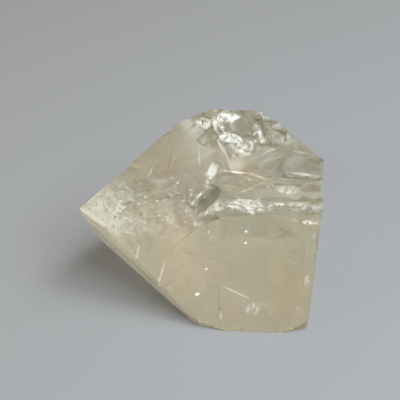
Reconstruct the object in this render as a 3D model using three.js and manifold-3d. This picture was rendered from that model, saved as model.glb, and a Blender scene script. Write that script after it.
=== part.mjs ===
// A rough topaz crystal lying on its side: a pointed end on the left, a flat cleavage break on the
// right, one broad smooth face in front, and above it a chipped shelf, a stepped shoulder and a
// hackly crest. One solid. Millimetres, +Z up, origin under the middle of the stone.
import * as THREE from "three";
import { mergeVertices } from "three/addons/utils/BufferGeometryUtils.js";
import Module from "manifold-3d";

const wasm = await Module();
wasm.setup();

// The block the stone is cleaved from: the driving dimensions.
const LENGTH = 41;
const DEPTH = 36;
const HEIGHT = 29.6;

// A corner of the stone as shares of the block: along from its middle, back from its front, up.
const corner = (along, back, up) => [along * LENGTH, back * DEPTH, up * HEIGHT];
const TIP = corner(-0.487, 0.41, 0.522);
const FRONT_FOOT = corner(0.195, 0.047, 0);
const LEFT_FOOT = corner(-0.052, 0.108, 0);
const RIGHT_FOOT = corner(0.424, 0.069, 0);
const BACK_FOOT = corner(0.195, 0.752, 0);
const SHOULDER = corner(0.243, 0.315, 0.606);
const BEVEL = corner(-0.2, 0.194, 0.267);
const CREST = corner(0.183, 0.691, 0.98);
const LEFT_CREST = corner(0.02, 0.708, 0.946);
const RIGHT_CREST = corner(0.4, 0.555, 0.865);

// Flat faces, by the outward normal's azimuth (0 = +X, 90 = +Y) and rise, in degrees.
const FACES = {
  rest: { through: FRONT_FOOT, azimuth: 0, rise: -90 },
  front: { through: FRONT_FOOT, azimuth: -93, rise: 29 },
  leftFoot: { through: LEFT_FOOT, azimuth: -108, rise: -20 },
  rightFoot: { through: RIGHT_FOOT, azimuth: -75, rise: -8 },
  cleavedEnd: { through: RIGHT_FOOT, azimuth: 0, rise: -7 },
  upperFront: { through: SHOULDER, azimuth: -98, rise: 50 },
  underside: { through: LEFT_FOOT, azimuth: 178, rise: -56 },
  tipUnderside: { through: TIP, azimuth: 182, rise: -26 },
  bevel: { through: BEVEL, azimuth: -126, rise: -11 },
  backLeft: { through: TIP, azimuth: 138, rise: 27 },
  leftCrest: { through: LEFT_CREST, azimuth: 115, rise: 23 },
  rightCrest: { through: RIGHT_CREST, azimuth: 40, rise: 30 },
  backUpper: { through: CREST, azimuth: 84, rise: 34 },
  backLower: { through: BACK_FOOT, azimuth: 92, rise: -30 },
};

// Broken places are laid out in the plane of a face, in mm from the point it passes through, as
// at = [across, up]; each is then turned about that place by turn degrees.

// Ledges. A broken line span long starts at its place, and the stone below it lies lower by drop;
// tilt deepens the step along the line and jag is the height of its teeth.
const LEDGES = [
  { face: "upperFront", at: [-8.3, 5.3], span: 22, turn: 3, drop: 0.16, tilt: 0.8, jag: 0.35 },
  { face: "upperFront", at: [-7.4, 3.9], span: 22, turn: 1, drop: 0.22, tilt: 1.2, jag: 0.3 },
  { face: "upperFront", at: [-6.8, 1.7], span: 22, turn: 4, drop: 0.26, tilt: 1.7, jag: 0.5 },
  { face: "upperFront", at: [-7.4, 0.5], span: 22, turn: 2, drop: 0.36, tilt: 2.1, jag: 0.45 },
  // Growth steps along the bevel.
  { face: "bevel", at: [-13.6, 8.8], span: 32, turn: -36.7, drop: 0.14, tilt: 0, jag: 0.06 },
  { face: "bevel", at: [-14.4, 7.7], span: 32, turn: -36.7, drop: 0.3, tilt: 0, jag: 0.08 },
  // Steps along the back.
  { face: "backUpper", at: [-24, 2], span: 54, turn: 2, drop: 0.35, tilt: 0, jag: 0.15 },
  { face: "backUpper", at: [-24, -5], span: 54, turn: -1, drop: 0.7, tilt: 0, jag: 0.15 },
  { face: "backUpper", at: [-24, -9.6], span: 27, turn: 2, drop: 1, tilt: 0, jag: 0.3 },
  { face: "backLower", at: [-24, 9.6], span: 54, turn: 3, drop: 0.5, tilt: 0, jag: 0.25 },
  { face: "backLeft", at: [-30, -7], span: 60, turn: 9, drop: 0.35, tilt: 0, jag: 0.2 },
];

// Chips with a flat floor and flat walls; roll and pitch lean the floor across and up the face.
const NICKS = [
  // The sloping step from the shoulder down to the shelf, and the small nick under it.
  { face: "upperFront", at: [-8.6, 1], wide: 1.9, long: 4.8, deep: 0.75, turn: -33, roll: -35, pitch: 0 },
  { face: "upperFront", at: [-9.2, -1.8], wide: 3.6, long: 1.7, deep: 0.75, turn: 24, roll: -8, pitch: 24 },
  // The white scar above the step.
  { face: "upperFront", at: [-9, 5.6], wide: 1.5, long: 4.2, deep: 0.45, turn: -18, roll: 14, pitch: 0 },
  // The frosted patch on the shoulder.
  { face: "upperFront", at: [3.6, 4], wide: 4.6, long: 1.6, deep: 0.62, turn: 2, roll: 0, pitch: -6 },
  // Blocks out of the crest.
  { face: "upperFront", at: [-10.6, 14.1], wide: 1.9, long: 1.8, deep: 0.75, turn: 12, roll: -12, pitch: 16 },
  { face: "upperFront", at: [-1.9, 13.8], wide: 1.1, long: 2.9, deep: 0.8, turn: 24, roll: 22, pitch: -4 },
  { face: "upperFront", at: [-0.6, 17.4], wide: 2.8, long: 3.4, deep: 1.7, turn: 10, roll: 10, pitch: 6 },
  // Low terraces on the cleaved end.
  { face: "cleavedEnd", at: [22, 20], wide: 18, long: 16, deep: 0.3, turn: 38, roll: 0, pitch: 0 },
  { face: "cleavedEnd", at: [19, 1], wide: 16, long: 5, deep: 0.3, turn: -24, roll: 0, pitch: 2 },
];

// Shell-shaped chips: caps of a large ball, wide across and long up, deep at their middle.
const CHIPS = [
  // The shelf behind the tip.
  { face: "upperFront", at: [-17.2, -2.6], wide: 19, long: 9.4, deep: 1.6, turn: 3 },
  { face: "upperFront", at: [-13.4, 1.6], wide: 7, long: 4.6, deep: 0.85, turn: 22 },
  { face: "upperFront", at: [-19.6, 1.3], wide: 8.4, long: 4.2, deep: 0.6, turn: -8 },
  { face: "upperFront", at: [-24.9, -0.6], wide: 6.4, long: 4.4, deep: 0.55, turn: 26 },
  { face: "upperFront", at: [-16.2, 3.7], wide: 5.6, long: 3.4, deep: 0.3, turn: 12 },
  { face: "upperFront", at: [-14.6, -2.2], wide: 5.4, long: 4, deep: 1.85, turn: 30 },
  { face: "upperFront", at: [-20.4, -2.4], wide: 6, long: 4, deep: 1.55, turn: -30 },
  // The hackly crest.
  { face: "upperFront", at: [-12.4, 14.4], wide: 4.4, long: 3, deep: 0.5, turn: 33 },
  { face: "upperFront", at: [-5.4, 14], wide: 4.4, long: 3.4, deep: 1.15, turn: -16 },
  { face: "upperFront", at: [-7.5, 12.2], wide: 3.2, long: 2.4, deep: 0.6, turn: -25 },
  { face: "upperFront", at: [-3.9, 11], wide: 4.2, long: 3.2, deep: 0.9, turn: 20 },
  { face: "upperFront", at: [3.2, 12.8], wide: 3.6, long: 3.8, deep: 0.6, turn: -30 },
  { face: "upperFront", at: [-8.8, 10], wide: 2.6, long: 4.6, deep: 0.35, turn: -36 },
  // The slope between the crest and the ledges.
  { face: "upperFront", at: [-3.2, 8.2], wide: 6.4, long: 4.6, deep: 0.6, turn: 30 },
  { face: "upperFront", at: [1.2, 9.3], wide: 8, long: 3.6, deep: 0.75, turn: 38 },
  { face: "upperFront", at: [6.4, 9.9], wide: 9, long: 4, deep: 0.7, turn: 24 },
  { face: "upperFront", at: [7, 7.2], wide: 8, long: 2.8, deep: 0.4, turn: 6 },
  // Scars on the back, underneath and on the cleaved end.
  { face: "backLower", at: [6, 11], wide: 15, long: 9, deep: 1.4, turn: 10 },
  { face: "backUpper", at: [-9, -10], wide: 9, long: 6, deep: 1.6, turn: -20 },
  { face: "leftCrest", at: [-4, -6], wide: 7, long: 5, deep: 0.7, turn: 40 },
  { face: "underside", at: [-12, 15], wide: 8, long: 9, deep: 0.8, turn: 20 },
  { face: "cleavedEnd", at: [24, 5], wide: 6, long: 4.4, deep: 0.8, turn: 30 },
];

const UP = new THREE.Vector3(0, 0, 1);
const CLEAR = 12; // how far a cutter stands out of the stone
const TEETH = 22; // points along a broken line
const FACET = 0.8; // about how wide the flats of a shell-shaped chip are
const RIPPLE = 0.12; // how uneven its floor is, as a share of its depth

// A closed three.js geometry as a manifold-3d solid.
function solidOf(geometry) {
  const bare = geometry.index ? geometry.toNonIndexed() : geometry.clone();
  bare.deleteAttribute("normal");
  bare.deleteAttribute("uv");
  const merged = mergeVertices(bare, 1e-4);
  const mesh = new wasm.Mesh({
    numProp: 3,
    vertProperties: new Float32Array(merged.attributes.position.array),
    triVerts: new Uint32Array(merged.index.array),
  });
  return new wasm.Manifold(mesh);
}

function geometryOf(solid) {
  const mesh = solid.getMesh();
  const geometry = new THREE.BufferGeometry();
  geometry.setAttribute("position", new THREE.BufferAttribute(new Float32Array(mesh.vertProperties), 3));
  geometry.setIndex(new THREE.BufferAttribute(new Uint32Array(mesh.triVerts), 1));
  return geometry;
}

// A face's own frame: X runs level across it, Y up it and Z out of the stone.
function frameOf({ through, azimuth, rise }) {
  const a = THREE.MathUtils.degToRad(azimuth);
  const r = THREE.MathUtils.degToRad(rise);
  const out = new THREE.Vector3(Math.cos(a) * Math.cos(r), Math.sin(a) * Math.cos(r), Math.sin(r));
  const level = Math.abs(rise) === 90;
  const across = level ? new THREE.Vector3(1, 0, 0) : UP.clone().cross(out).normalize();
  const up = out.clone().cross(across);
  return new THREE.Matrix4().makeBasis(across, up, out).setPosition(...through);
}

// Takes off everything outside one flat face.
function cleave(stone, face) {
  const side = 4 * LENGTH;
  const block = new THREE.BoxGeometry(side, side, side);
  block.translate(0, 0, side / 2);
  block.applyMatrix4(frameOf(face));
  return stone.subtract(solidOf(block));
}

// A slow, smooth unevenness in [-1, 1], so that no broken surface is a perfect ball or line.
function waviness(x, y, z) {
  const broad = Math.sin(0.9 * x + 1.3 * y) * Math.sin(0.8 * z - 0.6 * x + 1);
  const fine = Math.sin(2.3 * y - 1.7 * z + 2) * Math.sin(2.1 * x + 1.1 * z);
  return 0.6 * broad + 0.4 * fine;
}

// Breaks one ledge along a jagged line.
function ledge(stone, { face, at, span, turn, drop, tilt, jag }) {
  const outline = new THREE.Shape();
  outline.moveTo(0, -2 * CLEAR);
  for (let i = 0; i <= TEETH; i++) {
    const along = (span * i) / TEETH;
    const tooth = i % 2 ? 0.5 : -0.5;
    outline.lineTo(along, jag * (tooth + waviness(2 * along, at[1], drop)));
  }
  outline.lineTo(span, -2 * CLEAR);
  const slab = new THREE.ExtrudeGeometry(outline, { depth: CLEAR, bevelEnabled: false });
  slab.translate(0, 0, -drop);
  slab.rotateY(THREE.MathUtils.degToRad(tilt));
  slab.rotateZ(THREE.MathUtils.degToRad(turn));
  slab.translate(...at, 0);
  slab.applyMatrix4(frameOf(FACES[face]));
  return stone.subtract(solidOf(slab));
}

// Breaks out one chip with flat walls.
function nick(stone, { face, at, wide, long, deep, turn, roll, pitch }) {
  const block = new THREE.BoxGeometry(wide, long, CLEAR);
  block.translate(0, 0, CLEAR / 2);
  block.rotateX(THREE.MathUtils.degToRad(pitch));
  block.rotateY(THREE.MathUtils.degToRad(roll));
  block.rotateZ(THREE.MathUtils.degToRad(turn));
  block.translate(...at, -deep);
  block.applyMatrix4(frameOf(FACES[face]));
  return stone.subtract(solidOf(block));
}

// Breaks out one shell-shaped chip.
function chip(stone, { face, at, wide, long, deep, turn }) {
  const frame = frameOf(FACES[face]);
  const reach = (wide * wide) / (8 * deep) + deep / 2;
  const ball = new THREE.IcosahedronGeometry(reach, Math.round(reach / FACET));
  ball.translate(0, 0, reach - deep);
  ball.scale(1, long / wide, 1);
  ball.rotateZ(THREE.MathUtils.degToRad(turn));
  ball.translate(...at, 0);
  ball.applyMatrix4(frame);
  const out = new THREE.Vector3().setFromMatrixColumn(frame, 2);
  const place = ball.attributes.position;
  const point = new THREE.Vector3();
  for (let i = 0; i < place.count; i++) {
    point.fromBufferAttribute(place, i);
    point.addScaledVector(out, RIPPLE * deep * waviness(point.x, point.y, point.z));
    place.setXYZ(i, point.x, point.y, point.z);
  }
  return stone.subtract(solidOf(ball));
}

// The whole stone, moved so that the origin lies under its middle.
function crystal() {
  const block = new THREE.BoxGeometry(LENGTH, DEPTH, HEIGHT);
  block.translate(0, DEPTH / 2, HEIGHT / 2);
  let stone = Object.values(FACES).reduce(cleave, solidOf(block));
  stone = LEDGES.reduce(ledge, stone);
  stone = NICKS.reduce(nick, stone);
  stone = CHIPS.reduce(chip, stone);
  const { min, max } = stone.boundingBox();
  return stone.translate([-(min[0] + max[0]) / 2, -(min[1] + max[1]) / 2, -min[2]]);
}

const topaz = new THREE.MeshStandardMaterial({ color: 0xb5ae8c, roughness: 0.15, metalness: 0 });
const body = new THREE.Mesh(geometryOf(crystal()), topaz);
body.name = "crystal";

const part = new THREE.Group();
part.add(body);
export default part;
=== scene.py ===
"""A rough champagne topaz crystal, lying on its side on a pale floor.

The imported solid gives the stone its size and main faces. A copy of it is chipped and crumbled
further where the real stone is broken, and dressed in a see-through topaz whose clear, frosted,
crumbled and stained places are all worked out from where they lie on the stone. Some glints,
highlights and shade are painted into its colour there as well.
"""

import logging
import math
import random
from dataclasses import dataclass, field
from enum import Enum
from functools import cached_property
from typing import Any, Iterable, Optional, Union

import bpy
from mathutils import Euler, Matrix, Vector


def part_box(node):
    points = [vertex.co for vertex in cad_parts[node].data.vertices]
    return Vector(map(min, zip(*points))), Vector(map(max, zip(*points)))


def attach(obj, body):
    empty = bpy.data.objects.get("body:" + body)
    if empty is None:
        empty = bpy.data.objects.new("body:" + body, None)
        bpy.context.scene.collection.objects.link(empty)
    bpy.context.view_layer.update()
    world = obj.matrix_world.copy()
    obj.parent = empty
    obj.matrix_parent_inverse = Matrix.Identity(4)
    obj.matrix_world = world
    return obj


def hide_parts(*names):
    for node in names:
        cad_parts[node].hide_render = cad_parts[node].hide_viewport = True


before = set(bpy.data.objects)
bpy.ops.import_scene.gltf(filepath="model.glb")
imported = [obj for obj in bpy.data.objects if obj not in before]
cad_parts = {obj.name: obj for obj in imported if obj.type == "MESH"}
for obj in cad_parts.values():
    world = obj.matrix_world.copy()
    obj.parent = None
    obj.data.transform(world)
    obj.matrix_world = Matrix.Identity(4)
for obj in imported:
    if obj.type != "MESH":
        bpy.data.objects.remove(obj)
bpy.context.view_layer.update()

LOG = logging.getLogger("topaz")
MM = 0.001

Pair = tuple[float, float]
Triple = tuple[float, float, float]
Colour = tuple[float, float, float, float]
Number = Union[float, "Wire"]


def select_only(piece: bpy.types.Object) -> None:
    """Makes one object the only selected one, and the active one.

    Args:
        piece: the object that the next operators act on.
    """
    bpy.ops.object.select_all(action="DESELECT")
    piece.select_set(True)
    bpy.context.view_layer.objects.active = piece


def direction(azimuth: float, rise: float) -> Vector:
    """Finds a direction from its two angles.

    Args:
        azimuth: its angle around +Z from +X, in degrees.
        rise: its angle above the horizon, in degrees.

    Returns:
        The unit vector.
    """
    turn, lift = math.radians(azimuth), math.radians(rise)
    return Vector((math.cos(turn) * math.cos(lift), math.sin(turn) * math.cos(lift), math.sin(lift)))


def box_point(shares: Triple) -> Vector:
    """Returns the point that lies at these shares of the stone's box, in metres."""
    low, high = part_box("crystal")
    return Vector([low[i] + shares[i] * (high[i] - low[i]) for i in range(3)])


# ---------------------------------------------------------------------------------------------
# Places on the stone


@dataclass(frozen=True)
class Face:
    """A flat face of the stone, with its own level, upward and outward directions.

    Attributes:
        through: a point on the face, as shares of the stone's box.
        azimuth: the outward direction's angle around +Z from +X, in degrees.
        rise: the outward direction's angle above the horizon, in degrees.
    """

    through: Triple
    azimuth: float
    rise: float

    def outward(self) -> Vector:
        """Returns the unit vector that points out of the stone."""
        return direction(self.azimuth, self.rise)

    def across(self) -> Vector:
        """Returns the unit vector that runs level across the face."""
        return Vector((0, 0, 1)).cross(self.outward()).normalized()

    def upward(self) -> Vector:
        """Returns the unit vector that runs up the face."""
        return self.outward().cross(self.across())

    def turned(self, degrees: float) -> tuple[Vector, Vector]:
        """Turns the face's level and upward directions on the face.

        Args:
            degrees: how far to turn them.

        Returns:
            The two directions.
        """
        turn = math.radians(degrees)
        along = math.cos(turn) * self.across() + math.sin(turn) * self.upward()
        over = math.cos(turn) * self.upward() - math.sin(turn) * self.across()
        return along, over

    def origin(self) -> Vector:
        """Returns the point that the face passes through, in metres."""
        return box_point(self.through)

    def point(self, across: float, up: float, out: float = 0.0) -> Vector:
        """Finds a place from its distances along the face's directions.

        Args:
            across: distance along the level direction, in mm.
            up: distance up the face, in mm.
            out: height out of the stone, in mm.

        Returns:
            The place, in metres.
        """
        steps = across * self.across() + up * self.upward() + out * self.outward()
        return self.origin() + MM * steps


class StoneFace(Enum):
    """The faces that the broken and stained places are laid out on."""

    FRONT = Face((0.695, 0.008, 0.0), -93, 29)
    UPPER_FRONT = Face((0.744, 0.292, 0.624), -98, 50)
    BEVEL = Face((0.293, 0.1605, 0.2747), -126, -11)
    END = Face((0.959, 0.41, 0.278), 0, -7)
    BACK_LEFT = Face((0.428, 0.826, 0.594), 115, 23)
    BACK_RIGHT = Face((0.897, 0.748, 0.672), 40, 30)
    BACK_UPPER = Face((0.736, 0.913, 0.585), 84, 34)
    BACK_FOOT = Face((0.645, 0.833, 0.16), 92, -30)
    TIP_BACK = Face((0.194, 0.605, 0.611), 138, 27)
    UNDERSIDE = Face((0.312, 0.513, 0.142), 178, -56)


# ---------------------------------------------------------------------------------------------
# Shader arithmetic


class Wire:
    """A shader socket that takes part in Python arithmetic."""

    def __init__(self, board: "Board", socket: bpy.types.NodeSocket) -> None:
        """Wraps a socket.

        Args:
            board: the material's node board.
            socket: an output socket on it.
        """
        self.board = board
        self.socket = socket

    def __add__(self, other: Number) -> "Wire":
        """Returns the sum."""
        return self.board.math("ADD", self, other)

    __radd__ = __add__

    def __sub__(self, other: Number) -> "Wire":
        """Returns this less the other."""
        return self.board.math("SUBTRACT", self, other)

    def __rsub__(self, other: Number) -> "Wire":
        """Returns the other less this."""
        return self.board.math("SUBTRACT", other, self)

    def __mul__(self, other: Number) -> "Wire":
        """Returns the product."""
        return self.board.math("MULTIPLY", self, other)

    __rmul__ = __mul__

    def __pow__(self, other: Number) -> "Wire":
        """Returns this raised to the other."""
        return self.board.math("POWER", self, other)

    def __abs__(self) -> "Wire":
        """Returns the size without its sign."""
        return self.board.math("ABSOLUTE", self)

    def clamp(self) -> "Wire":
        """Holds this between 0 and 1.

        Returns:
            The held value.
        """
        wire = self.board.math("ADD", self, 0.0)
        wire.socket.node.use_clamp = True
        return wire

    def ramp(self, low: float, high: float) -> "Wire":
        """Rises smoothly from 0 at low to 1 at high, and falls if high is the smaller.

        Args:
            low: where the result is 0.
            high: where the result is 1.

        Returns:
            The smooth step.
        """
        settings = {"interpolation_type": "SMOOTHSTEP", "clamp": True}
        values = {"Value": self, "From Min": min(low, high), "From Max": max(low, high)}
        if low > high:
            values.update({"To Min": 1.0, "To Max": 0.0})
        return self.board.add("ShaderNodeMapRange", settings, values)


class Board:
    """A material's nodes, built one call at a time."""

    def __init__(self, name: str) -> None:
        """Starts a material with nothing but its output.

        Args:
            name: the material's name.
        """
        self.material = bpy.data.materials.new(name)
        self.material.use_nodes = True
        self.tree = self.material.node_tree
        self.tree.nodes.clear()
        self.output = self.tree.nodes.new("ShaderNodeOutputMaterial")

    def _feed(self, socket: bpy.types.NodeSocket, value: Any) -> None:
        """Links a wire to a socket, or sets a plain value on it.

        Args:
            socket: the socket.
            value: a wire, or a number or colour.
        """
        if isinstance(value, Wire):
            self.tree.links.new(value.socket, socket)
        else:
            socket.default_value = value

    def add(self, kind: str, settings: dict[str, Any], values: dict[Any, Any], result: Any = 0) -> Wire:
        """Adds any node.

        Args:
            kind: the node's type.
            settings: properties of the node, set first.
            values: numbers, colours or wires for its sockets, by name or place.
            result: the name or place of the output that is wanted.

        Returns:
            A wire from that output.
        """
        node = self.tree.nodes.new(kind)
        for key, value in settings.items():
            setattr(node, key, value)
        for key, value in values.items():
            self._feed(node.inputs[key], value)
        return Wire(self, node.outputs[result])

    def finish(self, name: str, wire: Wire) -> None:
        """Links a wire to one of the material's outputs."""
        self.tree.links.new(wire.socket, self.output.inputs[name])

    def math(self, operation: str, *terms: Number) -> Wire:
        """Adds a Math node on one or two values."""
        return self.add("ShaderNodeMath", {"operation": operation}, dict(enumerate(terms)))

    def most(self, first: Number, second: Number) -> Wire:
        """Returns the larger of two values."""
        return self.math("MAXIMUM", first, second)

    def vector(self, operation: str, *terms: Any) -> Wire:
        """Adds a Vector Math node on one or two vectors."""
        result = "Value" if operation == "DOT_PRODUCT" else "Vector"
        return self.add("ShaderNodeVectorMath", {"operation": operation}, dict(enumerate(terms)), result)

    def scale(self, vector: Wire, share: Number) -> Wire:
        """Returns a vector times a number."""
        return self.add("ShaderNodeVectorMath", {"operation": "SCALE"}, {0: vector, "Scale": share})

    def along(self, place: Wire, axis: Vector, step: float = 1.0) -> Wire:
        """Returns how far a place lies along an axis, in steps of so many mm."""
        return self.vector("DOT_PRODUCT", place, tuple(axis / (step * MM)))

    def blend(self, first: Any, layers: Iterable[tuple[Number, "Tone"]]) -> Wire:
        """Lays tones over a colour, one after another.

        Args:
            first: the colour underneath.
            layers: how much of each tone, from 0 to 1, and the tone.

        Returns:
            The colour.
        """
        colour = first
        for share, tone in layers:
            values = {0: share, 6: colour, 7: tone.value}
            colour = self.add("ShaderNodeMix", {"data_type": "RGBA"}, values, 2)
        return colour

    @cached_property
    def place(self) -> Wire:
        """Returns where a point lies, in the object's own metres."""
        return self.add("ShaderNodeTexCoord", {}, {}, "Object")

    def noise(self, size: float, detail: float, rough: float) -> Wire:
        """Adds a cloudy pattern with values around 0.5.

        Args:
            size: about how large its clouds are, in mm.
            detail: how many finer layers it has.
            rough: how strong those are.

        Returns:
            The pattern's value.
        """
        values = {"Vector": self.place, "Scale": 1 / (size * MM), "Detail": detail, "Roughness": rough}
        return self.add("ShaderNodeTexNoise", {}, values, "Fac")

    def cells(self, size: float, feature: str, result: str = "Distance") -> Wire:
        """Adds a pattern of cells about size mm apart."""
        values = {"Vector": self.place, "Scale": 1 / (size * MM)}
        return self.add("ShaderNodeTexVoronoi", {"feature": feature}, values, result)


@dataclass(frozen=True)
class Patch:
    """An oval place on a face, with a soft or ragged edge.

    Attributes:
        face: the face that it lies on.
        at: its middle, across and up the face, in mm.
        size: its half width and half height, in mm.
        turn: how far it is turned on the face, in degrees.
        soft: how wide its edge is, as a share of its size.
    """

    face: StoneFace
    at: Pair
    size: Pair
    turn: float = 0.0
    soft: float = 0.4

    def mask(self, board: Board, ragged: Number = 0.0, reach: float = 3.0) -> Wire:
        """Works out how far a point lies in the patch.

        Args:
            board: the material's board.
            ragged: added to the distance from the middle, to break up the edge.
            reach: how deep under or over the face it still counts, in mm.

        Returns:
            1 inside the patch, falling to 0 at its edge.
        """
        face = self.face.value
        along, over = face.turned(self.turn)
        from_middle = board.vector("SUBTRACT", board.place, tuple(face.point(*self.at)))
        scaled = [
            board.along(from_middle, axis, half)
            for axis, half in ((along, self.size[0]), (over, self.size[1]), (face.outward(), reach))
        ]
        spread = scaled[0] * scaled[0] + scaled[1] * scaled[1] + scaled[2] * scaled[2]
        return (spread**0.5 + ragged).ramp(1.0 + self.soft / 2, 1.0 - self.soft / 2)


class Tone(Enum):
    """The colours that the stone's marks take."""

    FROST_AND_GLINT = (0.97, 0.96, 0.91, 1.0)
    CREAM = (0.88, 0.84, 0.63, 1.0)
    SNOW = (0.97, 0.97, 0.95, 1.0)
    VEIL = (0.75, 0.71, 0.56, 1.0)
    ROSE = (1.0, 0.90, 0.84, 1.0)
    AMBER = (1.0, 0.86, 0.70, 1.0)
    SMOKE = (0.46, 0.45, 0.38, 1.0)
    HONEY = (0.90, 0.68, 0.42, 1.0)
    BLUSH = (0.90, 0.70, 0.56, 1.0)
    CLEAR = (0.97, 0.985, 0.93, 1.0)


@dataclass(frozen=True)
class Mark:
    """A crumbled, frosted or stained place.

    Attributes:
        patch: where it lies.
        strength: how strongly it shows in its middle, from 0 to 1.
        broken: how much of it is broken up into grains, from 0 to 1.
    """

    patch: Patch
    strength: float
    broken: float


UPPER = StoneFace.UPPER_FRONT
FRONT = StoneFace.FRONT
STEP = Patch(UPPER, (-8.8, 1.4), (1.25, 2.7), -34, 0.3)

WHITE_MARKS = (
    # The crumbled ledge.
    Mark(Patch(UPPER, (-3.4, 0.9), (5.0, 1.3), 5), 0.85, 0.9),
    Mark(Patch(UPPER, (-2.2, 0.5), (2.3, 0.7), 8), 0.9, 0.7),
    Mark(Patch(UPPER, (5.8, 1.8), (6.4, 0.6), 2), 0.4, 1.0),
    Mark(Patch(UPPER, (2.5, 1.4), (1.7, 0.7), 2), 0.8, 0.9),
    Mark(Patch(UPPER, (5.6, 1.5), (1.5, 0.6), 4), 0.9, 0.9),
    Mark(Patch(UPPER, (8.6, 1.4), (1.3, 0.6)), 0.8, 0.9),
    Mark(Patch(UPPER, (-8.6, -0.5), (2.2, 0.55), 32), 0.8, 0.8),
    Mark(Patch(UPPER, (-10.2, -2.6), (1.9, 0.8), 24), 0.35, 0.8),
    # The scar above the step, and the frosted patch on the shoulder.
    Mark(Patch(UPPER, (-8.8, 5.8), (0.8, 2.3), -20, 0.8), 0.7, 0.9),
    Mark(Patch(UPPER, (3.9, 4.1), (2.3, 0.8), 2), 0.6, 1.0),
    # The crest: crumbled white, partly painted glints on its broken facets.
    Mark(Patch(UPPER, (-11.2, 14.1), (1.4, 1.1), 24), 0.95, 0.9),
    Mark(Patch(UPPER, (-7.4, 15.6), (2.4, 0.8), 8), 1.0, 0.8),
    Mark(Patch(UPPER, (-8.4, 13.6), (0.8, 1.6), 20), 0.95, 0.9),
    Mark(Patch(UPPER, (-6.6, 12.1), (2.5, 0.8), -12), 1.0, 0.8),
    Mark(Patch(UPPER, (-3.7, 10.4), (1.7, 1.4), 30), 0.9, 1.0),
    Mark(Patch(UPPER, (-1.8, 13.7), (0.7, 1.9), 32), 0.9, 0.9),
    Mark(Patch(UPPER, (-0.2, 16.4), (2.4, 0.6), -4), 0.75, 0.8),
    Mark(Patch(UPPER, (-3.6, 15.8), (1.6, 0.5), -20), 0.4, 0.8),
    # Bright broken edges on the slope and along the ledges, and a painted highlight along the step's
    # edge.
    Mark(Patch(UPPER, (-0.4, 10.0), (3.3, 0.15), 28, 1.0), 0.6, 0.3),
    Mark(Patch(UPPER, (1.6, 9.4), (3.0, 0.12), 22, 1.0), 0.45, 0.4),
    Mark(Patch(UPPER, (5.6, 10.6), (3.6, 0.12), -6, 1.0), 0.5, 0.5),
    Mark(Patch(UPPER, (6.4, 6.9), (2.6, 0.22), -3, 1.0), 0.7, 0.6),
    Mark(Patch(UPPER, (-5.0, 6.3), (2.7, 0.2), 0, 1.0), 0.85, 0.4),
    Mark(Patch(UPPER, (-1.1, 5.9), (1.7, 0.12), -14, 1.0), 0.6, 0.4),
    Mark(Patch(UPPER, (-2.3, 3.8), (3.2, 0.14), 28, 1.0), 0.6, 0.4),
    Mark(Patch(UPPER, (-7.7, 10.4), (0.2, 2.0), 34, 1.0), 0.6, 0.6),
    # A painted highlight along the step's upper left edge.
    Mark(Patch(UPPER, (-10.6, 1.6), (0.22, 2.4), -36, 1.0), 0.9, 0.8),
    # Light flaws in the smooth upper left.
    Mark(Patch(UPPER, (-15.4, 6.8), (0.14, 1.6), -8, 1.0), 0.5, 0.5),
    Mark(Patch(UPPER, (-19.0, 4.6), (0.16, 1.5), -14, 1.0), 0.6, 0.5),
    Mark(Patch(UPPER, (-11.2, 8.6), (0.14, 2.2), 12, 1.0), 0.5, 0.5),
    # Painted glints along the front's upper edge.
    Mark(Patch(FRONT, (9.2, 18.8), (1.3, 0.4), 2, 1.0), 0.9, 0.8),
    Mark(Patch(FRONT, (6.8, 19.0), (0.9, 0.16), 2, 1.0), 0.5, 0.6),
)

PALE_MARKS = (
    # The shelf, the tip, the crest, the shoulder and the edge above the tip. On the shelf and the crest
    # they are partly a painted sheen.
    Mark(Patch(UPPER, (-17.0, -2.2), (10.5, 4.4), 4, 0.7), 0.62, 0.4),
    Mark(Patch(UPPER, (-27.5, -3.2), (6.2, 5.2), 30, 0.9), 0.95, 0.5),
    Mark(Patch(UPPER, (-5.5, 13.4), (7.6, 3.4), -4, 0.6), 0.22, 0.5),
    Mark(Patch(UPPER, (4.0, 3.6), (9.5, 3.6), 3, 0.6), 0.22, 0.5),
    Mark(Patch(UPPER, (-21.5, 4.6), (9.5, 1.0), 40, 1.2), 0.4, 0.4),
)

# The milky veil along the front's lower left edge.
FRONT_VEILS = (
    Mark(Patch(FRONT, (-24.0, 13.0), (6.5, 3.2), -42, 0.8), 0.75, 0.5),
)
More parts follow.
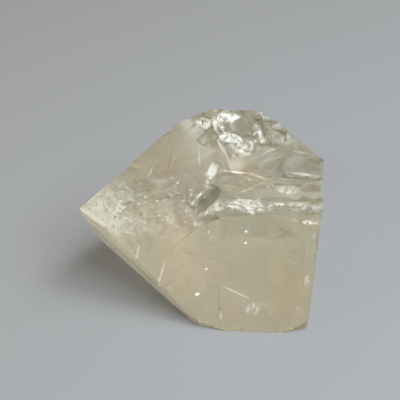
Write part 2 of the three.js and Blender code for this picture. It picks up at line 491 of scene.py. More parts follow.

# Painted glints on the front: small white spots that stand in for highlights.
GLINTS_AND_FLAWS = tuple(
    Mark(Patch(FRONT, at, (size, 0.7 * size), 20, 0.8), 0.95, 0.25)
    for at, size in (
        ((-15.0, 7.3), 0.4), ((-8.6, 6.1), 0.42), ((-7.2, 10.4), 0.27),
        ((-0.9, 16.9), 0.3), ((-0.9, 15.0), 0.27), ((-7.0, 16.6), 0.2),
    )
) + (
    # Small cracks and clouds on the front.
    Mark(Patch(FRONT, (0.7, 3.9), (1.6, 1.2), 20), 0.4, 0.7),
    Mark(Patch(FRONT, (-0.1, 4.0), (0.3, 0.9), -14, 1.0), 0.6, 0.4),
    Mark(Patch(FRONT, (0.7, 4.5), (0.28, 0.8), -10, 1.0), 0.7, 0.4),
    Mark(Patch(FRONT, (1.3, 3.7), (0.26, 0.7), -16, 1.0), 0.6, 0.4),
    Mark(Patch(FRONT, (3.7, 3.4), (0.6, 0.7), -12), 0.35, 0.5),
    Mark(Patch(FRONT, (-4.6, 2.7), (0.25, 0.7)), 0.6, 0.5),
    Mark(Patch(FRONT, (6.8, 12.1), (0.8, 0.5), -20), 0.35, 0.6),
    Mark(Patch(FRONT, (4.7, 15.5), (1.0, 0.4)), 0.3, 0.6),
    Mark(Patch(FRONT, (9.3, 9.2), (0.5, 1.1)), 0.55, 0.6),
    Mark(Patch(FRONT, (8.1, 3.9), (0.4, 0.8)), 0.4, 0.6),
    Mark(Patch(FRONT, (-14.6, 9.4), (0.2, 2.5), -15, 1.0), 0.6, 0.2),
    Mark(Patch(FRONT, (-2.1, 6.6), (3.0, 0.16), -24, 1.0), 0.6, 0.2),
    Mark(Patch(FRONT, (-6.6, 8.7), (2.2, 0.14), -28, 1.0), 0.25, 0.3),
    Mark(Patch(FRONT, (2.1, 4.8), (1.8, 0.15), -22, 1.0), 0.35, 0.3),
    Mark(Patch(FRONT, (-18.6, 12.8), (0.22, 1.5), -12, 1.0), 0.6, 0.3),
)

# Where the stone has a rose tint, and an amber one.
ROSE_MARKS = (
    Mark(Patch(FRONT, (-9.5, 10.0), (5.0, 5.0), 0, 1.2), 1.0, 0.1),
    Mark(Patch(FRONT, (-2.0, 3.6), (7.5, 2.6), 0, 1.2), 0.6, 0.1),
    Mark(Patch(UPPER, (-16.0, 6.6), (6.0, 4.6), 30, 1.2), 0.8, 0.1),
    Mark(Patch(UPPER, (-16.0, -3.0), (8.0, 4.4), 0, 1.2), 0.9, 0.1),
    Mark(Patch(UPPER, (-6.6, 9.2), (2.6, 2.6), 0, 1.2), 0.8, 0.1),
    Mark(Patch(UPPER, (-13.0, 5.0), (4.0, 3.0), 0, 1.4), 0.5, 0.1),
)

AMBER_MARKS = (
    Mark(Patch(UPPER, (-3.0, 6.6), (3.2, 1.6), -6, 1.0), 0.9, 0.2),
    Mark(Patch(UPPER, (-2.2, 4.4), (3.0, 1.2), 12, 1.0), 0.8, 0.2),
    Mark(Patch(UPPER, (1.6, 8.4), (3.0, 1.0), 25, 1.2), 0.6, 0.2),
    Mark(Patch(FRONT, (6.3, 7.2), (3.0, 6.0), 10, 1.4), 0.6, 0.1),
    Mark(Patch(FRONT, (6.0, 18.6), (3.6, 0.8), 0, 1.2), 0.8, 0.2),
)

DARK_MARKS = (
    # Painted shade on the smooth recessed step, and in the hollow below it.
    Mark(STEP, 0.95, 0.1),
    Mark(Patch(UPPER, (-8.9, -2.0), (2.2, 0.8), 22, 0.5), 0.6, 0.6),
    # Small flaws and thin cracks on the front.
    Mark(Patch(FRONT, (5.4, 17.1), (1.7, 1.1), 10), 0.3, 1.0),
    Mark(Patch(FRONT, (6.7, 13.8), (0.9, 0.5), 10), 0.25, 1.0),
    Mark(Patch(FRONT, (4.8, 17.5), (0.4, 0.18), 20, 0.8), 0.9, 0.5),
    Mark(Patch(FRONT, (5.6, 17.0), (0.5, 0.2), -30, 0.8), 0.9, 0.5),
    Mark(Patch(FRONT, (6.2, 17.6), (0.2, 0.4), 0, 0.8), 0.8, 0.5),
    Mark(Patch(FRONT, (5.2, 16.3), (0.2, 0.45), 20, 0.8), 0.8, 0.5),
    Mark(Patch(FRONT, (6.4, 13.9), (0.5, 0.16), 10, 0.8), 0.8, 0.5),
    Mark(Patch(FRONT, (7.1, 13.6), (0.3, 0.16), -20, 0.8), 0.8, 0.5),
    Mark(Patch(FRONT, (-5.0, 5.2), (0.13, 3.0), 3, 1.0), 0.6, 0.2),
    Mark(Patch(FRONT, (-4.7, 3.6), (0.2, 0.45), 0, 0.8), 1.0, 0.3),
    Mark(Patch(FRONT, (-6.1, 12.1), (1.3, 0.18), -17, 1.0), 0.7, 0.2),
    Mark(Patch(FRONT, (-9.8, 12.9), (1.4, 0.16), 0, 1.0), 0.5, 0.2),
    # Flaws behind the tip and beside the step.
    Mark(Patch(UPPER, (-22.6, 1.6), (1.3, 0.2), -10), 0.6, 0.4),
    Mark(Patch(UPPER, (-11.6, -0.2), (0.25, 1.2), 30), 0.6, 0.8),
    # Darker places: the crest's end, the slope, the crest and the middle of the front.
    Mark(Patch(UPPER, (2.8, 13.6), (1.6, 1.3), 0, 0.8), 0.3, 0.4),
    Mark(Patch(UPPER, (4.5, 8.6), (6.0, 2.6), 5, 0.8), 0.95, 0.4),
    Mark(Patch(UPPER, (-3.0, 13.2), (6.0, 2.6), -6, 0.8), 0.5, 0.4),
    Mark(Patch(FRONT, (-2.0, 12.5), (8.5, 5.0), 0, 1.2), 0.26, 0.1),
)


# Places that patterns keep to. The two hackly ones break up into small flats.
SHOULDER = Patch(UPPER, (3.0, 4.2), (11.5, 3.4), 3, 0.5)
SLOPE = Patch(UPPER, (4.5, 9.2), (7.5, 3.2), 5, 0.6)
TIP = Patch(UPPER, (-26.5, -3.0), (6.6, 6.4), 0, 0.9)
CREST = Patch(UPPER, (-5.0, 13.2), (8.5, 3.6), -6, 0.5)
SHELF = Patch(UPPER, (-17.0, -2.0), (9.0, 4.6), 4, 0.5)
SHELF_FLOOR = Patch(UPPER, (-15.5, 0.0), (9.0, 5.4), 8, 0.7)
HACKLY_CREST = Patch(UPPER, (-3.0, 13.6), (10.5, 4.2), -6, 0.5)
HACKLY_SHELF = Patch(UPPER, (-17.0, -2.0), (9.5, 4.6), 4, 0.5)
TIP_REACH = 9.0  # how deep the tip's own patterns go, in mm

# Cloudy patterns: their size in mm, how many finer layers they have and how strong those are.
GRAIN = (0.9, 5.0, 0.7)
LUMP = (2.2, 2.0, 0.5)
CLOUD = (7.0, 3.0, 0.5)
FINE = (0.35, 3.0, 0.6)

# How far the grain and the lumps bend a mark's outline, and where its own grains begin and end.
GRAIN_BEND = 2.0
LUMP_BEND = 2.2
GRAINS = (0.36, 0.58)

# Values of a pattern: where what it draws starts to show, and where it shows fully.
SEAM_EDGE = (0.6, 0.68)
STREAK_EDGE = (0.58, 0.72)
GROWTH_EDGE = (0.45, 0.55)
GRAIN_EDGE = (0.4, 0.6)

# Heights over a face, in mm: where a point stops belonging to it, and where it belongs fully.
FRONT_REACH = (0.3, 0.1)
BEVEL_REACH = (1.3, 0.9)
UNDER_UPPER = (-4.5, -3.5)
UNDER_FRONT = (-2.6, -1.8)


@dataclass(frozen=True)
class Streaks:
    """A pattern of long thin streaks that lie along a face.

    Attributes:
        face: the face that the streaks follow.
        turn: their direction on it, in degrees from level.
        fine: how far apart they are, in mm.
        long: how long they are, in mm.
        detail: how many finer layers they have.
        rough: how strong those are.
    """

    face: StoneFace
    turn: float
    fine: float
    long: float
    detail: float = 3.0
    rough: float = 0.6

    def pattern(self, board: Board) -> Wire:
        """Adds the pattern.

        Args:
            board: the material's board.

        Returns:
            A value around 0.5.
        """
        along, over = self.face.value.turned(self.turn)
        lengths = ((along, self.long), (over, self.fine), (self.face.value.outward(), self.fine))
        parts = [board.along(board.place, axis, step) for axis, step in lengths]
        stretched = board.add("ShaderNodeCombineXYZ", {}, dict(enumerate(parts)))
        values = {"Vector": stretched, "Scale": 1.0, "Detail": self.detail, "Roughness": self.rough}
        return board.add("ShaderNodeTexNoise", {}, values, "Fac")


STREAKS = Streaks(UPPER, 66, 0.5, 5.0)
SEAMS = Streaks(UPPER, 2, 0.35, 6.0)
GROWTH = Streaks(FRONT, -46, 0.25, 8.0)


@dataclass(frozen=True)
class Breaks:
    """Fine cracks between cells, or flecks in the middles of the cells.

    Attributes:
        size: how far apart they are, in mm.
        edge: how far off one starts to show and is fully there, as shares of that.
        patchy: the lump's values that start to let them through, and that do so fully.
        grainy: the same for the grain, where it breaks them up.
        feature: DISTANCE_TO_EDGE for cracks, F1 for flecks.
    """

    size: float
    edge: Pair
    patchy: Pair
    grainy: Optional[Pair] = None
    feature: str = "DISTANCE_TO_EDGE"

    def pattern(self, skin: "Skin") -> Wire:
        """Returns how far a point lies on one, from 0 to 1."""
        lines = skin.board.cells(self.size, self.feature).ramp(*self.edge)
        return lines * skin.grain.ramp(*self.grainy) if self.grainy else lines

    def patches(self, skin: "Skin") -> Wire:
        """Returns how far the lumps let them through, from 0 to 1."""
        return skin.lump.ramp(*self.patchy)


CRACKS = Breaks(2.6, (0.09, 0.03), (0.5, 0.6), (0.42, 0.55))
CRAZING = Breaks(0.8, (0.16, 0.04), (0.5, 0.56), (0.4, 0.56))
HAIRS = Breaks(2.1, (0.07, 0.02), (0.52, 0.46))
FLECKS = Breaks(1.1, (0.24, 0.1), (0.43, 0.5), feature="F1")


class Skin:
    """The stone's surface: its patterns, parts and places, and the marks on it.

    Attributes:
        board: the material's board.
        grain, lump, cloud, fine: cloudy patterns around 0.5.
        streaks, seams, growth: streaky patterns around 0.5.
        front, bevel, upper, behind: how far a point is on each part of the stone, from 0 to 1.
        shoulder, slope, step, tip, crest, shelf, shelf_floor: how far it is in each of these places.
    """

    def __init__(self, board: Board) -> None:
        """Lays them all out.

        Args:
            board: the material's board.
        """
        self.board = board
        self.grain = board.noise(*GRAIN)
        self.lump = board.noise(*LUMP)
        self.cloud = board.noise(*CLOUD)
        self.fine = board.noise(*FINE)
        self.streaks = STREAKS.pattern(board)
        self.seams = SEAMS.pattern(board)
        self.growth = GROWTH.pattern(board)

        self.front = abs(self.height_over(FRONT)).ramp(*FRONT_REACH)
        self.bevel = abs(self.height_over(StoneFace.BEVEL)).ramp(*BEVEL_REACH) * (1 - self.front)
        high = self.height_over(UPPER).ramp(*UNDER_UPPER)
        near = self.height_over(FRONT).ramp(*UNDER_FRONT)
        self.upper = board.most(high, near) * (1 - self.front - self.bevel).clamp()
        self.behind = (1 - self.front - self.upper - self.bevel).clamp()

        self.shoulder = SHOULDER.mask(board)
        self.slope = SLOPE.mask(board)
        self.step = STEP.mask(board) * self.upper
        self.tip = TIP.mask(board, reach=TIP_REACH)
        self.crest = CREST.mask(board)
        self.shelf = SHELF.mask(board)
        self.shelf_floor = SHELF_FLOOR.mask(board) * (1 - self.front)

    def height_over(self, face: StoneFace) -> Wire:
        """Returns how far a point lies out of a face, in mm."""
        away = self.board.vector("SUBTRACT", self.board.place, tuple(face.value.origin()))
        return self.board.along(away, face.value.outward())

    def total(self, marks: Iterable[Mark], broken_by: Optional[Wire] = None) -> Wire:
        """Adds up a group of marks.

        Args:
            marks: the marks.
            broken_by: the pattern that breaks them up, if it isn't the grain.

        Returns:
            How strongly they show, from 0 to 1.
        """
        grain = broken_by or self.grain
        ragged = (grain - 0.5) * GRAIN_BEND + (self.lump - 0.5) * LUMP_BEND
        grains = grain.ramp(*GRAINS)
        result: Optional[Wire] = None
        for mark in marks:
            inside = mark.patch.mask(self.board, ragged * mark.broken)
            shown = inside * (grains * mark.broken + (1 - mark.broken)) * mark.strength
            result = shown if result is None else self.board.most(result, shown)
        return result

    def whites(self) -> Wire:
        """Works out the white, crumbled and cracked places, with the painted glints and highlights among
        them.

        Returns:
            How white a point is, from 0 to 1.
        """
        board = self.board
        seams = 0.5 * self.shoulder * self.seams.ramp(*SEAM_EDGE)
        cracked = 0.34 * self.crest + 0.2 * self.shelf + 0.3 * self.behind * CRACKS.patches(self)
        crazed = 0.55 * self.tip + 0.35 * self.shelf_floor * CRAZING.patches(self)
        flecked = (0.8 * self.shelf_floor + 0.4 * self.tip) * FLECKS.patches(self)
        white = board.most(self.total(WHITE_MARKS), seams)
        white = board.most(white, CRACKS.pattern(self) * cracked)
        white = board.most(white, CRAZING.pattern(self) * crazed)
        return board.most(white, FLECKS.pattern(self) * flecked)

    def pales(self) -> Wire:
        """Works out the pale, cream places: marks, partly a painted sheen on the shelf and crest,
        streaks and the tip's growth lines.

        Returns:
            How pale a point is, from 0 to 1.
        """
        board = self.board
        streaks = 0.22 * self.upper * self.streaks.ramp(*STREAK_EDGE)
        grown = 0.3 + 0.4 * self.growth.ramp(*GROWTH_EDGE) + 0.3 * self.grain.ramp(*GRAIN_EDGE)
        pale = self.total(PALE_MARKS) * (1 - 0.8 * self.front)
        pale = board.most(pale, self.total(FRONT_VEILS))
        pale = board.most(pale, streaks)
        return board.most(pale, self.tip * grown)

    def darks(self) -> Wire:
        """Returns how dark a point is, from 0 to 1: marks, with painted shade on the step among them,
        and hair cracks on the shelf's floor.
        """
        hairs = 0.7 * HAIRS.pattern(self) * HAIRS.patches(self) * self.shelf_floor
        return self.board.most(self.total(DARK_MARKS), hairs)

    def hackled(self) -> Wire:
        """Breaks the surface's direction up into small flats, as on a hackly break.

        Returns:
            The surface's direction.
        """
        board = self.board
        normal = board.add("ShaderNodeNewGeometry", {}, {}, "Normal")
        crest = HACKLY_CREST.mask(board)
        shelf = HACKLY_SHELF.mask(board)
        for size, lean in (
            (2.2, self.upper * (0.05 + 0.25 * crest + 0.14 * shelf) + 0.08 * self.behind),
            (0.8, self.upper * (0.03 + 0.06 * crest + 0.08 * shelf) + 0.1 * self.tip),
            (5.0, 0.16 * self.behind),
        ):
            flats = board.vector("SUBTRACT", board.cells(size, "F1", "Color"), (0.5, 0.5, 0.5))
            normal = board.vector("ADD", normal, board.scale(flats, lean))
        return board.vector("NORMALIZE", normal)


@dataclass(frozen=True)
class TopazFinish:
    """Clear champagne topaz with frosted, crumbled and stained places, and painted glints and shade.

    Attributes:
        ior: how strongly it bends light.
        through: the colour of light that has crossed the stone.
        density: how quickly it takes that colour, per metre.
        polish: roughness of the smooth front face.
        ground: roughness of the bevel.
        worn: roughness of the broken upper part, which clouds vary.
        worn_least: the least share of that.
        frost: roughness of the back and the underside.
        slope_frost: what the slope below the crest adds to it.
        step_frost: what the dark step adds.
        pale_frost: what pale places add.
        crumb_rough: roughness of what has crumbled.
        relief: how deep the finest relief is, in mm.
        relief_share: how much of it shows.
        front_haze: how milky the front is between its clouds.
        cloud_haze: how much milkier it is in them.
        upper_haze: how milky the broken upper part is.
        back_haze: how milky the back and the underside are.
        bevel_haze: how milky the bevel is.
        pale_haze: how milky pale places are.
    """

    ior: float = 1.62
    through: Colour = (0.94, 0.86, 0.62, 1.0)
    density: float = 34.0
    polish: float = 0.24
    ground: float = 0.2
    worn: float = 0.24
    worn_least: float = 0.7
    frost: float = 0.5
    slope_frost: float = 0.25
    step_frost: float = 0.15
    pale_frost: float = 0.25
    crumb_rough: float = 0.45
    relief: float = 0.14
    relief_share: float = 0.7
    front_haze: float = 0.19
    cloud_haze: float = 0.24
    upper_haze: float = 0.2
    back_haze: float = 0.3
    bevel_haze: float = 0.6
    pale_haze: float = 0.55

    def facing(self, skin: Skin, white: Wire) -> Wire:
        """Works out the surface's direction, with its flats and its finest relief.

        Args:
            skin: the surface's patterns and places.
            white: how white a point is.

        Returns:
            The surface's direction.
        """
        broken = 0.3 * skin.grain + 0.1 * skin.fine + 0.3 * white
        broken = broken + 0.4 * skin.seams * skin.shoulder + 0.4 * skin.grain * skin.shelf_floor
        height = (
            skin.upper * broken
            + skin.tip * (0.6 * skin.growth + 0.6 * skin.grain)
            + skin.bevel * skin.growth
            + skin.behind * (0.3 * skin.grain + 0.6 * skin.growth)
            + 0.06 * skin.front * skin.cloud
        )
        values = {
            "Height": height,
            "Strength": self.relief_share,
            "Distance": self.relief * MM,
            "Normal": skin.hackled(),
        }
        return skin.board.add("ShaderNodeBump", {}, values)

    def roughness(self, skin: Skin, pale: Wire) -> Wire:
        """Works out how rough the glass is: clear in front, frosted behind and underneath.

        Args:
            skin: the surface's patterns and places.
            pale: how pale a point is.

        Returns:
            The roughness.
        """
        return (
            self.polish * skin.front
            + self.ground * skin.bevel
            + self.worn * skin.upper * (self.worn_least + skin.cloud)
            + self.slope_frost * skin.slope
            + self.step_frost * skin.step
            + self.frost * skin.behind
            + self.pale_frost * pale
        ).clamp()

    def hidden(self, skin: Skin, white: Wire, pale: Wire, glints_and_flaws: Wire) -> Wire:
        """Works out how much of the glass is hidden by what has crumbled or gone milky, and by painted
        glints.

        Args:
            skin: the surface's patterns and places.
            white: how white a point is.
            pale: how pale it is.
            glints_and_flaws: how far it lies on a painted glint, or on a small crack or cloud.

        Returns:
            The hidden share, from 0 to 1.
        """
        haze = (
            (self.front_haze + self.cloud_haze * skin.cloud) * skin.front
            + self.upper_haze * skin.upper
            + self.back_haze * skin.behind
            + self.bevel_haze * skin.bevel
        )
        marks = skin.board.most(glints_and_flaws, self.pale_haze * pale)
        return skin.board.most(haze, skin.board.most(white, marks)).clamp()

    def material(self) -> bpy.types.Material:
        """Builds the stone's material: clear glass, hidden in places by what has crumbled and by painted
        glints.

        Returns:
            The material.
        """
        board = Board("topaz")
        skin = Skin(board)
        white, pale, dark = skin.whites(), skin.pales(), skin.darks()
        # Painted glints, with the front's small cracks and clouds.
        glints_and_flaws = skin.total(GLINTS_AND_FLAWS)
        rose = skin.total(ROSE_MARKS, skin.cloud)
        amber = skin.total(AMBER_MARKS, skin.cloud)
        facing = self.facing(skin, white)

        tint = ((rose, Tone.ROSE), (amber, Tone.AMBER), (dark, Tone.SMOKE))
        glass = {
            "Base Color": board.blend(Tone.CLEAR.value, tint),
            "Roughness": self.roughness(skin, pale),
            "IOR": self.ior,
            "Transmission Weight": 1.0,
            "Normal": facing,
        }
        stain = (
            (pale, Tone.CREAM),
            (0.7 * amber, Tone.HONEY),
            (0.6 * rose, Tone.BLUSH),
            (0.8 * dark, Tone.SMOKE),
            # White crumb, and the painted glints and highlights.
            (white, Tone.FROST_AND_GLINT),
            (glints_and_flaws, Tone.SNOW),
        )
        crumb = {
            "Base Color": board.blend(Tone.VEIL.value, stain),
            "Roughness": self.crumb_rough,
            "IOR": self.ior,
            "Normal": facing,
        }
        parts = {
            0: self.hidden(skin, white, pale, glints_and_flaws),
            1: board.add("ShaderNodeBsdfPrincipled", {}, glass),
            2: board.add("ShaderNodeBsdfPrincipled", {}, crumb),
        }
        inside = {"Color": self.through, "Density": self.density}
        board.finish("Surface", board.add("ShaderNodeMixShader", {}, parts))
        board.finish("Volume", board.add("ShaderNodeVolumeAbsorption", {}, inside))
        return board.material


class ChipForm(Enum):
    """The two ways that the stone breaks."""

    BLOCK = "block"
    SHELL = "shell"


@dataclass(frozen=True)
class Chipping:
    """A field of small chips, broken out of one face at random.

    Attributes:
        face: the face that it lies on.
        at: the middle of the field, across and up the face, in mm.
        reach: its half width and half height, in mm.
        count: how many chips it has.
        size: a chip's width, least and most, in mm.
        deep: how far a chip cuts into the surface, least and most, in mm.
        slender: a chip's length as a share of its width, least and most.
        lean: how far the field itself is turned on the face, in degrees.
        under: how far the surface there lies under the face, in mm.
        turn: a chip's own turn on the face, least and most, in degrees.
        tilt: the most that a chip's floor leans, in degrees.
        form: whether the chips break out in blocks or in shells.
        seed: the start of the field's random draws.
    """

    face: StoneFace
    at: Pair
    reach: Pair
    count: int
    size: Pair
    deep: Pair
    slender: Pair = (0.5, 1.0)
    lean: float = 0.0
    under: float = 0.0
    turn: Pair = (0.0, 360.0)
    tilt: float = 12.0
    form: ChipForm = ChipForm.BLOCK
    seed: int = field(kw_only=True)

    def cutters(self, patterns: dict[ChipForm, bpy.types.Object]) -> list[bpy.types.Object]:
        """Sets out the field's cutters, each a copy of its form's pattern.

        Args:
            patterns: a unit block and a unit ball, for the two forms.

        Returns:
            The cutters, in their places.
        """
        draw = random.Random(self.seed)
        return [self.cutter(draw, patterns[self.form]) for _ in range(self.count)]

    def cutter(self, draw: random.Random, pattern: bpy.types.Object) -> bpy.types.Object:
        """Sets out one cutter.

        Args:
            draw: where its random values come from.
            pattern: the block or ball that it is a copy of.

        Returns:
            The cutter, in its place.
        """
        spot = self.spot(draw)
        wide = draw.uniform(*self.size)
        long = wide * draw.uniform(*self.slender)
        deep = draw.uniform(*self.deep)
        leans = [math.radians(draw.uniform(-self.tilt, self.tilt)) for _ in range(2)]
        turned = Euler((*leans, math.radians(draw.uniform(*self.turn))), "XYZ").to_matrix()
        if self.form is ChipForm.BLOCK:
            tall, out = wide, wide / 2 - deep - self.under
        else:
            tall, out = 2 * deep, -self.under
        face = self.face.value
        basis = Matrix((face.across(), face.upward(), face.outward())).transposed()
        size = Matrix.Diagonal((wide * MM, long * MM, tall * MM))
        cutter = pattern.copy()
        cutter.data = pattern.data.copy()
        place = Matrix.Translation(face.point(*spot, out))
        cutter.matrix_world = place @ (basis @ turned @ size).to_4x4()
        bpy.context.collection.objects.link(cutter)
        return cutter

    def spot(self, draw: random.Random) -> Pair:
        """Picks a chip's place in the field.

        Args:
            draw: where its random values come from.

        Returns:
            The place, across and up the face, in mm.
        """
        angle, far = draw.uniform(0, 2 * math.pi), math.sqrt(draw.random())
        side, rise = self.reach[0] * far * math.cos(angle), self.reach[1] * far * math.sin(angle)
        lean = math.radians(self.lean)
        across = self.at[0] + side * math.cos(lean) - rise * math.sin(lean)
        up = self.at[1] + side * math.sin(lean) + rise * math.cos(lean)
        return across, up


CHIPPINGS = (
    # The hackly crest.
    Chipping(UPPER, (-5.5, 13.6), (7.5, 3.4), 34, (1.2, 3.2), (0.1, 0.75), tilt=24, lean=-6, seed=3),
    Chipping(UPPER, (2.5, 13.4), (5.0, 2.4), 16, (1.2, 2.8), (0.1, 0.7), tilt=24, lean=-24, seed=4),
    # Scoops on the slope below it.
    Chipping(
        UPPER, (3.5, 8.2), (7.5, 2.2), 16, (2.4, 5.0), (0.08, 0.22), (0.3, 0.6), turn=(10, 45), tilt=4,
        under=0.3, lean=8, form=ChipForm.SHELL, seed=5,
    ),
    # The shelf behind the tip.
    Chipping(
        UPPER, (-17.0, -1.2), (8.6, 3.0), 44, (1.4, 3.6), (0.08, 0.3), (0.5, 1.0), tilt=14,
        under=1.1, lean=3, form=ChipForm.SHELL, seed=6,
    ),
    # The crumbled ledges.
    Chipping(
        UPPER, (0.5, 1.2), (9.5, 0.9), 90, (0.35, 1.1), (0.1, 0.45), tilt=30,
        under=0.25, lean=3, seed=7,
    ),
    Chipping(
        UPPER, (2.0, 4.4), (8.5, 1.0), 40, (0.4, 1.5), (0.05, 0.3), tilt=20,
        under=0.15, lean=2, seed=8,
    ),
    # Steps and scoops on the back, the underside and the cleaved end.
    Chipping(
        StoneFace.BACK_LEFT, (-1.0, 1.0), (8.0, 9.0), 16, (2.0, 6.0), (0.1, 0.45), (0.4, 0.9), tilt=9,
        form=ChipForm.SHELL, seed=11,
    ),
    Chipping(StoneFace.BACK_LEFT, (0.0, 8.5), (7.0, 2.4), 14, (0.8, 2.4), (0.1, 0.4), tilt=18, seed=12),
    Chipping(
        StoneFace.BACK_RIGHT, (0.0, -1.0), (6.0, 8.0), 12, (2.0, 5.0), (0.1, 0.4), (0.4, 0.8), tilt=9,
        form=ChipForm.SHELL, seed=13,
    ),
    Chipping(StoneFace.BACK_RIGHT, (0.0, 6.0), (4.0, 3.0), 10, (0.8, 2.2), (0.1, 0.4), tilt=18, seed=14),
    Chipping(
        StoneFace.TIP_BACK, (2.0, 1.0), (7.0, 6.0), 12, (1.6, 4.5), (0.08, 0.35), (0.3, 0.7), tilt=8,
        form=ChipForm.SHELL, seed=15,
    ),
    Chipping(StoneFace.BACK_UPPER, (0.0, 0.0), (5.0, 5.0), 12, (0.8, 3.0), (0.08, 0.35), seed=16),
    Chipping(StoneFace.BACK_FOOT, (2.0, 2.0), (12.0, 3.4), 14, (1.0, 3.6), (0.08, 0.4), seed=17),
    Chipping(
        StoneFace.UNDERSIDE, (0.0, 3.0), (9.0, 7.0), 12, (2.0, 5.0), (0.08, 0.35), (0.4, 0.8), tilt=7,
        form=ChipForm.SHELL, seed=18,
    ),
    Chipping(StoneFace.END, (-4.0, 6.0), (8.0, 3.0), 10, (0.6, 2.2), (0.06, 0.25), tilt=8, seed=19),
)


@dataclass
class Crystal:
    """The stone itself: one closed piece.

    Attributes:
        finish: what it is made of.
        chippings: the fields of small chips on it.
        smooth: edges flatter than this are shaded smooth, in degrees.
        merge: corners closer than this are made one, in mm.
    """

    finish: TopazFinish = field(default_factory=TopazFinish)
    chippings: tuple[Chipping, ...] = CHIPPINGS
    smooth: float = 22.0
    merge: float = 0.0005

    def build(self) -> bpy.types.Object:
        """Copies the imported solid, works it over and dresses it.

        Returns:
            The finished piece.
        """
        stone = self.copy_solid()
        self.chip_away(stone)
        stone = self.drop_crumbs(stone)
        self.dress(stone)
        return stone

    def patterns(self) -> dict[ChipForm, bpy.types.Object]:
        """Makes what the chips are cut with.

        Returns:
            A block and a ball, each 1 m across.
        """
        bpy.ops.object.select_all(action="DESELECT")
        bpy.ops.mesh.primitive_cube_add(size=1.0)
        block = bpy.context.active_object
        bpy.ops.mesh.primitive_ico_sphere_add(subdivisions=2, radius=0.5)
        return {ChipForm.BLOCK: block, ChipForm.SHELL: bpy.context.active_object}

    def chip_away(self, stone: bpy.types.Object) -> None:
        """Breaks all the fields of chips out of the stone.

        Args:
            stone: the stone's mesh.
        """
        patterns = self.patterns()
        cutters = [cutter for chipping in self.chippings for cutter in chipping.cutters(patterns)]
        for pattern in patterns.values():
            bpy.data.objects.remove(pattern, do_unlink=True)
        bpy.ops.object.select_all(action="DESELECT")
        for cutter in cutters:
            cutter.select_set(True)
        bpy.context.view_layer.objects.active = cutters[0]
        bpy.ops.object.join()
        select_only(stone)
        cut = stone.modifiers.new("chips", "BOOLEAN")
        cut.operation = "DIFFERENCE"
        cut.solver = "EXACT"
        cut.use_self = True
        cut.object = cutters[0]
        bpy.ops.object.modifier_apply(modifier=cut.name)
        bpy.data.objects.remove(cutters[0], do_unlink=True)

    def drop_crumbs(self, stone: bpy.types.Object) -> bpy.types.Object:
        """Takes away any crumb that the chips have cut loose.

        Args:
            stone: the stone's mesh, after chipping.

        Returns:
            The stone itself, as one body.
        """
        name = stone.name
        select_only(stone)
        bpy.ops.mesh.separate(type="LOOSE")
        bodies = sorted(bpy.context.selected_objects, key=lambda body: len(body.data.polygons))
        for crumb in bodies[:-1]:
            bpy.data.objects.remove(crumb, do_unlink=True)
        bodies[-1].name = name
        return bodies[-1]

    def copy_solid(self) -> bpy.types.Object:
        """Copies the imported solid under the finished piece's name, and merges its corners.

        Returns:
            The copy.
        """
        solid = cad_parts["crystal"]
        stone = bpy.data.objects.new("topaz_crystal", solid.data.copy())
        bpy.context.collection.objects.link(stone)
        stone.data.materials.clear()
        select_only(stone)
        bpy.ops.object.mode_set(mode="EDIT")
        bpy.ops.mesh.select_all(action="SELECT")
        bpy.ops.mesh.remove_doubles(threshold=self.merge * MM)
        bpy.ops.object.mode_set(mode="OBJECT")
        return stone

    def dress(self, stone: bpy.types.Object) -> None:
        """Shades the stone, gives it its material and ties it to the frame.

        Args:
            stone: the finished mesh.
        """
        select_only(stone)
        bpy.ops.object.shade_smooth_by_angle(angle=math.radians(self.smooth))
        stone.data.materials.append(self.finish.material())
        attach(stone, "root")
        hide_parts("crystal")


@dataclass(frozen=True)
class FloorFinish:
    """Plain matt grey.

    Attributes:
        colour: its colour.
        roughness: its roughness.
    """

    colour: Colour = (0.36, 0.362, 0.38, 1.0)
    roughness: float = 0.9

    def material(self) -> bpy.types.Material:
        """Builds the floor's material.

        Returns:
            The material.
        """
        board = Board("floor")
        values = {"Base Color": self.colour, "Roughness": self.roughness}
        board.finish("Surface", board.add("ShaderNodeBsdfPrincipled", {}, values))
        return board.material


@dataclass(frozen=True)
class Softbox:
    """A soft square light.

    Attributes:
        name: its name.
        azimuth: where it stands around the stone, in degrees from +X.
        rise: how high it stands, in degrees.
        far: how far off it stands, in metres.
        size: the length of its sides, in metres.
        power: its power, in watts.
        colour: the colour of its light.
    """

    name: str
    azimuth: float
    rise: float
    far: float
    size: float
    power: float
    colour: Triple

    def hang(self, target: Vector) -> None:
        """Hangs the light so that it faces the stone.

        Args:
            target: the point that it looks at, in metres.
        """
        away = direction(self.azimuth, self.rise)
        lamp = bpy.data.lights.new(self.name, "AREA")
        lamp.size = self.size
        lamp.energy = self.power
        lamp.color = self.colour
        holder = bpy.data.objects.new(self.name, lamp)
        holder.location = target + self.far * away
        holder.rotation_euler = away.to_track_quat("Z", "Y").to_euler()
        bpy.context.collection.objects.link(holder)


# High in front on the right, high on the right, and low on the left.
SOFTBOXES = (
    Softbox("window", azimuth=-38, rise=58, far=0.32, size=0.24, power=0.82, colour=(0.86, 0.95, 1.0)),
    Softbox("overhead", azimuth=12, rise=60, far=0.7, size=0.4, power=1.65, colour=(0.905, 0.963, 1.0)),
    Softbox("fill", azimuth=-150, rise=9, far=0.35, size=0.11, power=0.42, colour=(1.0, 0.94, 0.84)),
)


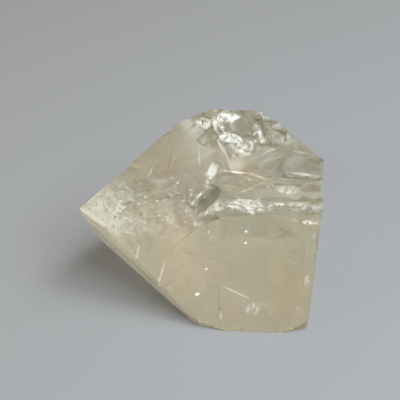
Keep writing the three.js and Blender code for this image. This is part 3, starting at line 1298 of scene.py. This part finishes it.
@dataclass
class Studio:
    """A pale floor, soft lights and the camera.

    Attributes:
        lens: the camera's focal length, in mm.
        sensor: the width of its sensor, in mm.
        nearest: nothing closer to the camera than this is seen, in metres.
        distance: from the camera to what it looks at, in mm.
        look_down: how far it looks down, in degrees.
        aim: what it looks at, as shares of the stone's box.
        floor_size: the length of the floor's sides, in metres.
        floor_gap: how far the floor lies under the stone, in mm.
        floor_finish: what the floor is made of.
        daylight: how strong the light from all around is.
        daylight_colour: its colour.
        softboxes: the lights.
    """

    lens: float = 85.0
    sensor: float = 36.0
    nearest: float = 0.005
    distance: float = 165.0
    look_down: float = 38.0
    aim: Triple = (0.497, 0.615, 0.417)
    floor_size: float = 3.0
    floor_gap: float = 0.02
    floor_finish: FloorFinish = field(default_factory=FloorFinish)
    daylight: float = 0.33
    daylight_colour: Colour = (1.0, 0.92, 0.77, 1.0)
    softboxes: tuple[Softbox, ...] = SOFTBOXES

    def build(self) -> None:
        """Builds the floor, the lights and the camera."""
        self.lay_floor()
        self.light()
        self.set_camera()
        bpy.context.scene.view_settings.view_transform = "Standard"

    def lay_floor(self) -> None:
        """Lays the floor under the stone."""
        bpy.ops.object.select_all(action="DESELECT")
        bpy.ops.mesh.primitive_plane_add(size=self.floor_size, location=(0, 0, -self.floor_gap * MM))
        floor = bpy.context.active_object
        floor.name = "floor"
        floor.data.materials.append(self.floor_finish.material())

    def light(self) -> None:
        """Lights the stone softly from all around, and mostly from high on the right."""
        world = bpy.data.worlds.new("daylight")
        world.use_nodes = True
        background = world.node_tree.nodes["Background"]
        background.inputs["Color"].default_value = self.daylight_colour
        background.inputs["Strength"].default_value = self.daylight
        bpy.context.scene.world = world
        for softbox in self.softboxes:
            softbox.hang(box_point(self.aim))

    def set_camera(self) -> None:
        """Stands the camera in front of the stone, looking down on it."""
        lift = math.radians(self.look_down)
        away = Vector((0, -math.cos(lift), math.sin(lift)))
        lens = bpy.data.cameras.new("camera")
        lens.lens = self.lens
        lens.sensor_width = self.sensor
        lens.clip_start = self.nearest
        eye = bpy.data.objects.new("camera", lens)
        eye.location = box_point(self.aim) + self.distance * MM * away
        eye.rotation_euler = away.to_track_quat("Z", "Y").to_euler()
        bpy.context.collection.objects.link(eye)
        bpy.context.scene.camera = eye


def main() -> None:
    """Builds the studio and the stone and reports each."""
    logging.basicConfig(level=logging.INFO)
    Studio().build()
    LOG.info("studio ready")
    stone = Crystal().build()
    LOG.info("%s: %d faces", stone.name, len(stone.data.polygons))


if __name__ == "__main__":
    main()
